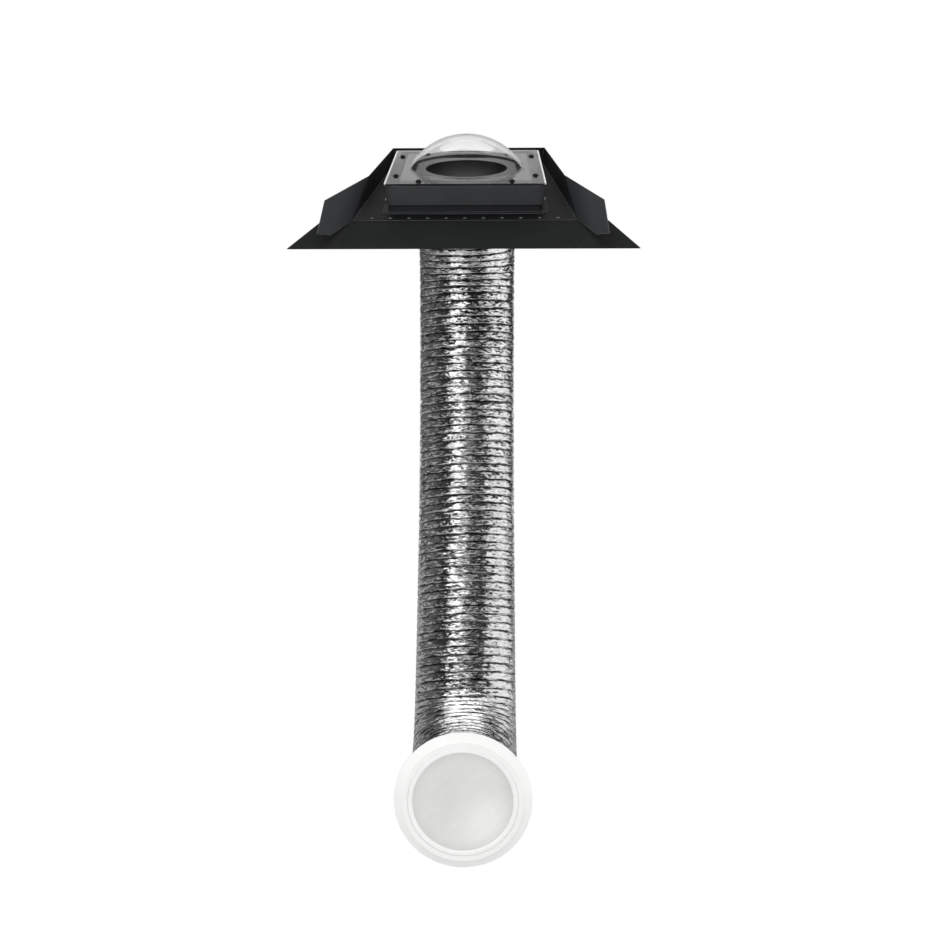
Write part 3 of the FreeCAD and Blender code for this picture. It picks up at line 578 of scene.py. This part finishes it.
def foil_duct_tree():
    """Tree that wraps a grid round a centre line: helical ribs, crinkled foil, plain cuffs and a liner."""
    tree = bpy.data.node_groups.new("ribbed_foil_duct", "GeometryNodeTree")
    for name, kind in (
        ("Geometry", "NodeSocketGeometry"),
        ("Centre line", "NodeSocketObject"),
        ("Length", "NodeSocketFloat"),
        ("Cuff", "NodeSocketFloat"),
        ("Bore radius", "NodeSocketFloat"),
        ("Cuff radius", "NodeSocketFloat"),
        ("Valley radius", "NodeSocketFloat"),
        ("Rib height", "NodeSocketFloat"),
        ("Rib pitch", "NodeSocketFloat"),
        ("Crinkle depth", "NodeSocketFloat"),
        ("Rings", "NodeSocketInt"),
        ("Liner rings", "NodeSocketInt"),
        ("Around", "NodeSocketInt"),
        ("Seed", "NodeSocketFloat"),
        ("Material", "NodeSocketMaterial"),
    ):
        tree.interface.new_socket(name, in_out="INPUT", socket_type=kind)
    tree.interface.new_socket("Geometry", in_out="OUTPUT", socket_type="NodeSocketGeometry")
    given = node(tree, "NodeGroupInput").outputs

    # Where each grid point lies: along the duct and round it
    grid_place = node(tree, "GeometryNodeInputPosition").outputs[0]
    parts = node(tree, "ShaderNodeSeparateXYZ", {0: grid_place}).outputs
    turn = parts["Y"]
    half = node(tree, "ShaderNodeMath", {0: given["Length"], 1: 0.5}, operation="MULTIPLY").outputs[0]
    along = node(tree, "ShaderNodeMath", {0: parts["X"], 1: half}, operation="ADD").outputs[0]
    left = node(tree, "ShaderNodeMath", {0: given["Length"], 1: along}, operation="SUBTRACT").outputs[0]
    end_gap = node(tree, "ShaderNodeMath", {0: along, 1: left}, operation="MINIMUM").outputs[0]

    # Centre line and the ray from it through the point
    line = node(tree, "GeometryNodeObjectInfo", {"Object": given["Centre line"]}).outputs["Geometry"]
    sample = node(tree, "GeometryNodeSampleCurve", {"Curves": line, "Length": along}, mode="LENGTH").outputs
    front = node(
        tree, "ShaderNodeVectorMath", {0: sample["Tangent"], 1: (1.0, 0.0, 0.0)}, operation="CROSS_PRODUCT"
    ).outputs[0]
    cosine = node(tree, "ShaderNodeMath", {0: turn}, operation="COSINE").outputs[0]
    sine = node(tree, "ShaderNodeMath", {0: turn}, operation="SINE").outputs[0]
    forward = node(tree, "ShaderNodeVectorMath", {0: front, "Scale": cosine}, operation="SCALE").outputs[0]
    sideways = node(tree, "ShaderNodeCombineXYZ", {"X": sine}).outputs[0]
    ray = node(tree, "ShaderNodeVectorMath", {0: forward, 1: sideways}, operation="ADD").outputs[0]

    # Ribs: broad and nearly flat, sloped at the upper edge and steep at the lower one, one pitch to a turn
    turns_down = node(
        tree, "ShaderNodeMath", {0: along, 1: given["Rib pitch"]}, operation="DIVIDE"
    ).outputs[0]
    helix = node(
        tree, "ShaderNodeMath", {0: turn, 1: 1 / math.tau, 2: turns_down}, operation="MULTIPLY_ADD"
    ).outputs[0]
    phase = node(tree, "ShaderNodeMath", {0: helix}, operation="FRACT").outputs[0]
    profile = node(tree, "ShaderNodeFloatCurve", {"Value": phase})
    shape = profile.mapping.curves[0]
    shape.points[1].location = (1.0, 0.0)
    for place, level in RIB_PROFILE:
        shape.points.new(place, level)
    profile.mapping.update()
    rib = node(
        tree, "ShaderNodeMath", {0: profile.outputs[0], 1: given["Rib height"]}, operation="MULTIPLY"
    ).outputs[0]

    # Crinkles: cells drawn out round the duct
    across = DUCT_VALLEY_R / CRINKLE_ROUND
    cell_x = node(tree, "ShaderNodeMath", {0: cosine, 1: across}, operation="MULTIPLY").outputs[0]
    cell_y = node(tree, "ShaderNodeMath", {0: sine, 1: across}, operation="MULTIPLY").outputs[0]
    cell_z = node(
        tree, "ShaderNodeMath", {0: along, 1: grain(CRINKLE_ALONG)}, operation="MULTIPLY"
    ).outputs[0]
    cell = node(tree, "ShaderNodeCombineXYZ", {"X": cell_x, "Y": cell_y, "Z": cell_z}).outputs[0]
    noise = node(
        tree, "ShaderNodeTexNoise",
        {"Vector": cell, "W": given["Seed"], "Scale": 1.0, "Detail": 3.0, "Roughness": 0.65},
        noise_dimensions="4D",
    ).outputs[0]
    middle = node(tree, "ShaderNodeMath", {0: noise, 1: 0.5}, operation="SUBTRACT").outputs[0]
    wall = node(
        tree, "ShaderNodeMath", {0: middle, 1: given["Crinkle depth"], 2: rib}, operation="MULTIPLY_ADD"
    ).outputs[0]

    # Cuffs stay plain, and the end rings turn in to the bore
    ribbed_from = node(
        tree, "ShaderNodeMath", {0: given["Cuff"], 1: given["Rib pitch"]}, operation="ADD"
    ).outputs[0]
    ribbed = node(
        tree, "ShaderNodeMapRange",
        {"Value": end_gap, "From Min": given["Cuff"], "From Max": ribbed_from},
        interpolation_type="SMOOTHSTEP",
    ).outputs[0]
    swell = node(
        tree, "ShaderNodeMath", {0: given["Valley radius"], 1: given["Cuff radius"]}, operation="SUBTRACT"
    ).outputs[0]
    proud = node(tree, "ShaderNodeMath", {0: wall, 1: swell}, operation="ADD").outputs[0]
    outer = node(
        tree, "ShaderNodeMath", {0: proud, 1: ribbed, 2: given["Cuff radius"]}, operation="MULTIPLY_ADD"
    ).outputs[0]
    at_end = node(
        tree, "FunctionNodeCompare", {0: end_gap, 1: 0.1 * MM}, data_type="FLOAT", operation="LESS_THAN"
    ).outputs[0]
    radius = node(
        tree, "GeometryNodeSwitch", {"Switch": at_end, "False": outer, "True": given["Bore radius"]},
        input_type="FLOAT",
    ).outputs[0]

    # Foil and liner, each a grid wrapped at its own radius
    girth = node(
        tree, "ShaderNodeMath", {0: turn, 1: given["Valley radius"]}, operation="MULTIPLY"
    ).outputs[0]
    lay = node(tree, "ShaderNodeCombineXYZ", {"X": along, "Y": girth}).outputs[0]
    walls = []
    for rings, reach in (("Rings", radius), ("Liner rings", given["Bore radius"])):
        grid = node(
            tree, "GeometryNodeMeshGrid",
            {
                "Size X": given["Length"],
                "Size Y": math.tau,
                "Vertices X": given[rings],
                "Vertices Y": given["Around"],
            },
        ).outputs["Mesh"]
        marked = node(
            tree, "GeometryNodeStoreNamedAttribute", {"Geometry": grid, "Name": "UVMap", "Value": lay},
            data_type="FLOAT2", domain="CORNER",
        ).outputs[0]
        arm = node(tree, "ShaderNodeVectorMath", {0: ray, "Scale": reach}, operation="SCALE").outputs[0]
        spot = node(tree, "ShaderNodeVectorMath", {0: sample["Position"], 1: arm}, operation="ADD").outputs[0]
        walls.append(node(tree, "GeometryNodeSetPosition", {"Geometry": marked, "Position": spot}).outputs[0])
    foil, liner = walls
    inward = node(tree, "GeometryNodeFlipFaces", {"Mesh": liner}).outputs[0]
    both = node(tree, "GeometryNodeJoinGeometry", {"Geometry": inward})
    tree.links.new(foil, both.inputs["Geometry"])
    closed = node(
        tree, "GeometryNodeMergeByDistance", {"Geometry": both.outputs[0], "Distance": 0.02 * MM}
    ).outputs[0]
    smooth = node(tree, "GeometryNodeSetShadeSmooth", {"Geometry": closed}).outputs[0]
    real = node(tree, "GeometryNodeRealizeInstances", {"Geometry": smooth}).outputs[0]
    done = node(tree, "GeometryNodeSetMaterial", {"Geometry": real, "Material": given["Material"]}).outputs[0]
    node(tree, "NodeGroupOutput", {0: done})
    return tree


def make_foil_duct():
    """Foil duct in place of the plain ribbed solid, with the closer wire turns of the real one."""
    line, length = duct_centre_line()
    source = new_piece("duct_source", bpy.data.meshes.new("duct_source"))
    duct = made_by(foil_duct_tree(), source, "foil_duct", {
        "Centre line": line,
        "Length": length * MM,
        "Cuff": DUCT_CUFF * MM,
        "Bore radius": DUCT_BORE_R * MM,
        "Cuff radius": DUCT_VALLEY_R * MM,
        "Valley radius": FOIL_VALLEY_R * MM,
        "Rib height": RIB_HEIGHT * MM,
        "Rib pitch": RIB_PITCH * MM,
        "Crinkle depth": CRINKLE_DEPTH * MM,
        "Rings": 1290,
        "Liner rings": 81,
        "Around": 65,
        "Seed": 3.0,
        "Material": FOIL,
    })
    bpy.data.objects.remove(line)
    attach(duct, "root")
    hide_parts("duct")


# Fasteners: outlines as corners of radius and height, with the face that they stand on at height 0

PAN_HEAD_SCREW = (
    (0, -16), (2.1, -13.9), (2.1, 0), (5.8, 0), (5.8, 1.0), (5.5, 1.9), (4.5, 2.7), (2.8, 3.15), (0, 3.2),
)
WASHER_HEAD_SCREW = ((0, -10), (2, -8), (2, 0), (4, 0), (4, 0.5), (3.4, 0.8), (3.1, 0.8), (0, 0.8))
BLIND_RIVET = (
    (0, -4.3), (3.1, -4.3), (3.1, -2.7), (2, -2.7), (2, 0), (4.2, 0),
    (4.1, 0.45), (3.3, 1.1), (2.2, 1.5), (1.2, 1.6), (1.1, 0.9), (0, 0.9),
)


def lathed(name, outline, steps=32):
    """Mesh turned about Z from (radius, height) corners that start and end on the axis."""
    mesh = bpy.data.meshes.new(name)
    work = bmesh.new()
    corners = [work.verts.new(Vector((radius, 0.0, height)) * MM) for radius, height in outline]
    lines = [work.edges.new(pair) for pair in zip(corners, corners[1:])]
    bmesh.ops.spin(
        work, geom=corners + lines, axis=(0, 0, 1), cent=(0, 0, 0), angle=math.tau, steps=steps
    )
    bmesh.ops.remove_doubles(work, verts=work.verts, dist=0.001 * MM)
    bmesh.ops.recalc_face_normals(work, faces=work.faces)
    work.to_mesh(mesh)
    work.free()
    return new_piece(name, mesh)


def recessed(head, cutter):
    """The head with the cutter's shape taken out of it."""
    cut = head.modifiers.new("recess", "BOOLEAN")
    cut.operation = "DIFFERENCE"
    cut.solver = "EXACT"
    cut.object = cutter
    graph = bpy.context.evaluated_depsgraph_get()
    mesh = bpy.data.meshes.new_from_object(head.evaluated_get(graph), depsgraph=graph)
    name = head.name
    bpy.data.objects.remove(head)
    bpy.data.objects.remove(cutter)
    return new_piece(name, mesh)


def prism(name, outline, low, high, taper=1.0):
    """Upright prism over a flat outline, drawn in by the taper at its low end."""
    mesh = bpy.data.meshes.new(name)
    count = len(outline)
    corners = [(x * taper * MM, y * taper * MM, low * MM) for x, y in outline]
    corners += [(x * MM, y * MM, high * MM) for x, y in outline]
    faces = [tuple(reversed(range(count))), tuple(range(count, 2 * count))]
    for index in range(count):
        after = (index + 1) % count
        faces.append((index, after, count + after, count + index))
    mesh.from_pydata(corners, [], faces)
    return new_piece(name, mesh)


def cross(arm, half_width):
    """Outline of an upright cross, anticlockwise."""
    corners = [(arm, -half_width), (arm, half_width), (half_width, half_width)]
    outline = []
    for _ in range(4):
        outline += corners
        corners = [(-y, x) for x, y in corners]
    return outline


def hexagon(radius):
    """Outline of a hexagon, anticlockwise."""
    return [(radius * math.cos(k * math.pi / 3), radius * math.sin(k * math.pi / 3)) for k in range(6)]


def fastener_tree():
    """Tree that sets a head on each place, standing along the place's own facing, turned at random."""
    tree = bpy.data.node_groups.new("set_out_fasteners", "GeometryNodeTree")
    for name, kind in (
        ("Places", "NodeSocketGeometry"),
        ("Head", "NodeSocketObject"),
        ("Seed", "NodeSocketInt"),
        ("Material", "NodeSocketMaterial"),
    ):
        tree.interface.new_socket(name, in_out="INPUT", socket_type=kind)
    tree.interface.new_socket("Geometry", in_out="OUTPUT", socket_type="NodeSocketGeometry")
    given = node(tree, "NodeGroupInput").outputs
    head = node(tree, "GeometryNodeObjectInfo", {"Object": given["Head"]}).outputs["Geometry"]
    facing = node(tree, "GeometryNodeInputNamedAttribute", {"Name": "facing"}, data_type="FLOAT_VECTOR")
    stand = node(
        tree, "FunctionNodeAlignRotationToVector", {"Vector": facing.outputs[0]}, axis="Z"
    ).outputs[0]
    spin = node(
        tree, "FunctionNodeRandomValue", {"Min": 0.0, "Max": math.tau, "Seed": given["Seed"]},
        data_type="FLOAT",
    )
    about = node(tree, "ShaderNodeCombineXYZ")
    tree.links.new(next(socket for socket in spin.outputs if socket.enabled), about.inputs["Z"])
    own_turn = node(tree, "FunctionNodeEulerToRotation", {0: about.outputs[0]}).outputs[0]
    turned = node(
        tree, "FunctionNodeRotateRotation", {"Rotation": stand, "Rotate By": own_turn},
        rotation_space="LOCAL",
    ).outputs[0]
    set_out = node(
        tree, "GeometryNodeInstanceOnPoints",
        {"Points": given["Places"], "Instance": head, "Rotation": turned},
    ).outputs[0]
    real = node(tree, "GeometryNodeRealizeInstances", {"Geometry": set_out}).outputs[0]
    done = node(tree, "GeometryNodeSetMaterial", {"Geometry": real, "Material": given["Material"]}).outputs[0]
    node(tree, "NodeGroupOutput", {0: done})
    return tree


def set_fasteners(name, head, places, material, seed, replaced):
    """One piece with a head at each (u, v, w, facing) place of the roof head."""
    mesh = bpy.data.meshes.new(name + "_places")
    mesh.from_pydata([roof_point(u, v, w) for u, v, w, _ in places], [], [])
    facings = mesh.attributes.new("facing", "FLOAT_VECTOR", "POINT")
    for item, place in zip(facings.data, places):
        item.vector = ROOF_TURN @ Vector(place[3])
    source = new_piece(name + "_places", mesh)
    piece = made_by(FASTENERS, source, name, {"Head": head, "Seed": seed, "Material": material})
    piece.data.shade_smooth()
    piece.data.set_sharp_from_angle(angle=math.radians(35.0))
    bpy.data.objects.remove(head)
    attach(piece, "root")
    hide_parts(replaced)


def dome_screw_places():
    """Eight places round the dome plate, two on each side."""
    inset = PLATE_HALF - DOME_SCREW_INSET
    level = PLATE_TOP + WASHER_H
    places = []
    for side in (-1, 1):
        for step in (-1, 1):
            places.append((step * DOME_SCREW_SPREAD, side * inset, level, (0, 0, 1)))
            places.append((side * inset, step * DOME_SCREW_SPREAD, level, (0, 0, 1)))
    return places


def make_fasteners():
    """Screws of the dome and the cap, and the apron's rivets, with their drives and mandrel holes."""
    dome_screw = recessed(
        lathed("dome_screw", PAN_HEAD_SCREW), prism("drive", cross(3.2, 0.65), 1.3, 3.8, 0.6)
    )
    set_fasteners(
        "dome_fixing_screws", dome_screw, dome_screw_places(), BLACK_OXIDE, 1, "dome_screws"
    )

    flanged = lathed("cap_screw", WASHER_HEAD_SCREW)
    hexed = prism("hex", hexagon(3.1), 0.7, 2.4)
    joined = bmesh.new()
    joined.from_mesh(flanged.data)
    joined.from_mesh(hexed.data)
    joined.to_mesh(flanged.data)
    joined.free()
    bpy.data.objects.remove(hexed)
    level = CAP_TOP - CAP_SCREW_DROP
    sides = []
    for side in (-1, 1):
        for v in (-CAP_SCREW_V, CAP_SCREW_V):
            sides.append((side * CAP_HALF, v, level, (side, 0, 0)))
    set_fasteners("cap_fixing_screws", flanged, sides, ZINC, 2, "cap_screws")

    rivet = lathed("blind_rivet", BLIND_RIVET, 24)
    row_v = PAN_FRONT_V + RIVET_SETBACK
    middle = (RIVET_COUNT - 1) / 2
    row = [((index - middle) * RIVET_PITCH, row_v, STRIP_TOP, (0, 0, 1)) for index in range(RIVET_COUNT)]
    set_fasteners("apron_blind_rivets", rivet, row, RIVET_PAINT, 3, "apron_rivets")


FASTENERS = fastener_tree()
make_foil_duct()
make_fasteners()


# Studio

def softbox(name, place, aim, width, height, level):
    """Soft rectangular lamp that faces a point; its level is what a mirror would show of it, 1 for white."""
    lamp = bpy.data.lights.new(name, "AREA")
    lamp.shape = "RECTANGLE"
    lamp.size = width
    lamp.size_y = height
    lamp.energy = level * math.pi * width * height
    holder = bpy.data.objects.new(name, lamp)
    scene.collection.objects.link(holder)
    holder.location = place
    holder.rotation_euler = (Vector(aim) - Vector(place)).to_track_quat("-Z", "Y").to_euler()
    holder.visible_camera = False


def make_floor():
    """Plain white paper floor well below the ring; it keeps the shadow and fades to the white backdrop."""
    half = 9.0
    level = -2.4
    mesh = bpy.data.meshes.new("studio_floor")
    corners = [(x * half, y * half, level) for x, y in ((-1, -1), (1, -1), (1, 1), (-1, 1))]
    mesh.from_pydata(corners, [], [(0, 1, 2, 3)])
    floor = new_piece("studio_floor", mesh)
    material, tree, shader = new_finish("white_paper", Base_Color=linear("#a8a8a8"), Roughness=0.9)
    seen = node(tree, "ShaderNodeLightPath").outputs
    bright = node(tree, "ShaderNodeEmission", {"Color": linear("#ffffff"), "Strength": 1.0})
    shown = node(
        tree, "ShaderNodeMath", {0: seen["Is Camera Ray"], 1: seen["Is Transmission Ray"]}, operation="ADD"
    )
    place = node(tree, "ShaderNodeTexCoord").outputs["Object"]
    gap = node(tree, "ShaderNodeVectorMath", {0: place, 1: (0.0, 0.0, level)}, operation="DISTANCE")
    fade = node(
        tree, "ShaderNodeMapRange",
        {
            "Value": gap.outputs["Value"],
            "From Min": 0.3,
            "From Max": 0.65,
            "To Min": 0.75,
            "To Max": 1.0,
        },
        interpolation_type="SMOOTHSTEP",
    )
    share = node(tree, "ShaderNodeMath", {0: shown.outputs[0], 1: fade.outputs[0]}, operation="MULTIPLY")
    mixed = node(
        tree, "ShaderNodeMixShader", {0: share.outputs[0], 1: shader.outputs[0], 2: bright.outputs[0]}
    )
    tree.links.new(mixed.outputs[0], tree.nodes["Material Output"].inputs["Surface"])
    floor.data.materials.append(material)


def make_world():
    """White surroundings for the eye and through the clear dome, a dim room in reflections, and soft fill."""
    world = bpy.data.worlds.new("studio")
    scene.world = world
    world.use_nodes = True
    tree = world.node_tree
    tree.nodes.clear()
    seen = node(tree, "ShaderNodeLightPath").outputs
    fill = node(tree, "ShaderNodeBackground", {"Color": linear("#ffffff"), "Strength": 0.92})
    room = node(tree, "ShaderNodeBackground", {"Color": linear("#ffffff"), "Strength": 0.03})
    white = node(tree, "ShaderNodeBackground", {"Color": linear("#ffffff"), "Strength": 1.0})
    # Metal mirrors the white backdrop behind the object, and the dim room on the other sides
    away = node(tree, "ShaderNodeTexCoord").outputs["Generated"]
    ahead = node(tree, "ShaderNodeVectorMath", {0: away, 1: (0.0, 0.978, -0.208)}, operation="DOT_PRODUCT")
    backdrop = node(
        tree, "ShaderNodeMapRange",
        {
            "Value": ahead.outputs["Value"],
            "From Min": math.cos(math.radians(30.0)),
            "From Max": math.cos(math.radians(22.0)),
        },
        interpolation_type="SMOOTHSTEP",
    )
    mirrored = node(
        tree, "ShaderNodeMixShader", {0: backdrop.outputs[0], 1: room.outputs[0], 2: white.outputs[0]}
    )
    lit = node(
        tree, "ShaderNodeMixShader", {0: seen["Is Glossy Ray"], 1: fill.outputs[0], 2: mirrored.outputs[0]}
    )
    # A ray that has been mirrored or scattered on its way no longer counts as looking through
    turned = node(
        tree, "ShaderNodeMath", {0: seen["Glossy Depth"], 1: seen["Diffuse Depth"]}, operation="ADD"
    )
    straight = node(tree, "ShaderNodeMath", {0: turned.outputs[0], 1: 0.5}, operation="LESS_THAN")
    through = node(
        tree, "ShaderNodeMath", {0: seen["Is Transmission Ray"], 1: straight.outputs[0]}, operation="MULTIPLY"
    )
    shown = node(tree, "ShaderNodeMath", {0: seen["Is Camera Ray"], 1: through.outputs[0]}, operation="ADD")
    mixed = node(tree, "ShaderNodeMixShader", {0: shown.outputs[0], 1: lit.outputs[0], 2: white.outputs[0]})
    node(tree, "ShaderNodeOutputWorld", {"Surface": mixed.outputs[0]})


def make_camera():
    """Camera level with the duct, looking a little down at the ring."""
    data = bpy.data.cameras.new("camera")
    data.lens = 36.0
    data.sensor_width = 36.0
    camera = bpy.data.objects.new("camera", data)
    scene.collection.objects.link(camera)
    camera.location = (0.045, -2.433, -0.493)
    camera.rotation_euler = (math.radians(90.0 - 4.847), 0.0, math.radians(0.974))
    scene.camera = camera


MIDDLE = (0.0, -0.1, -0.7)
# Name, place, what it faces, width, height and level
LAMPS = (
    ("front_softbox", (-1.6, -3.65, -0.6), MIDDLE, 1.9, 3.6, 1.7),
    ("top_softbox", (-0.1, -2.6, 1.2), (0.0, -0.3, -1.2), 2.0, 1.0, 0.9),
    ("elbow_softbox", (0.0, -0.335, -1.2), (0.0, -0.33, -1.33), 0.24, 0.06, 2.05),
    ("tube_softbox", roof_point(0.0, 40.0, -10.0), roof_point(0.0, 118.0, 0.0), 0.06, 0.04, 4.5),
    ("overhead_softbox", (0.0, 0.4, 2.0), (0.0, 0.1, 0.0), 1.8, 1.0, 1.0),
    ("right_softbox", (3.0, -0.3, -0.75), MIDDLE, 4.4, 2.7, 0.93),
    ("left_softbox", (-3.0, 1.0, -0.6), MIDDLE, 5.0, 3.2, 0.09),
    ("back_softbox", (0.0, 2.4, 1.95), (0.0, 0.0, 0.0), 3.6, 2.2, 0.6),
)
for lamp in LAMPS:
    softbox(*lamp)
make_floor()
make_world()
make_camera()
scene.view_settings.view_transform = "Standard"
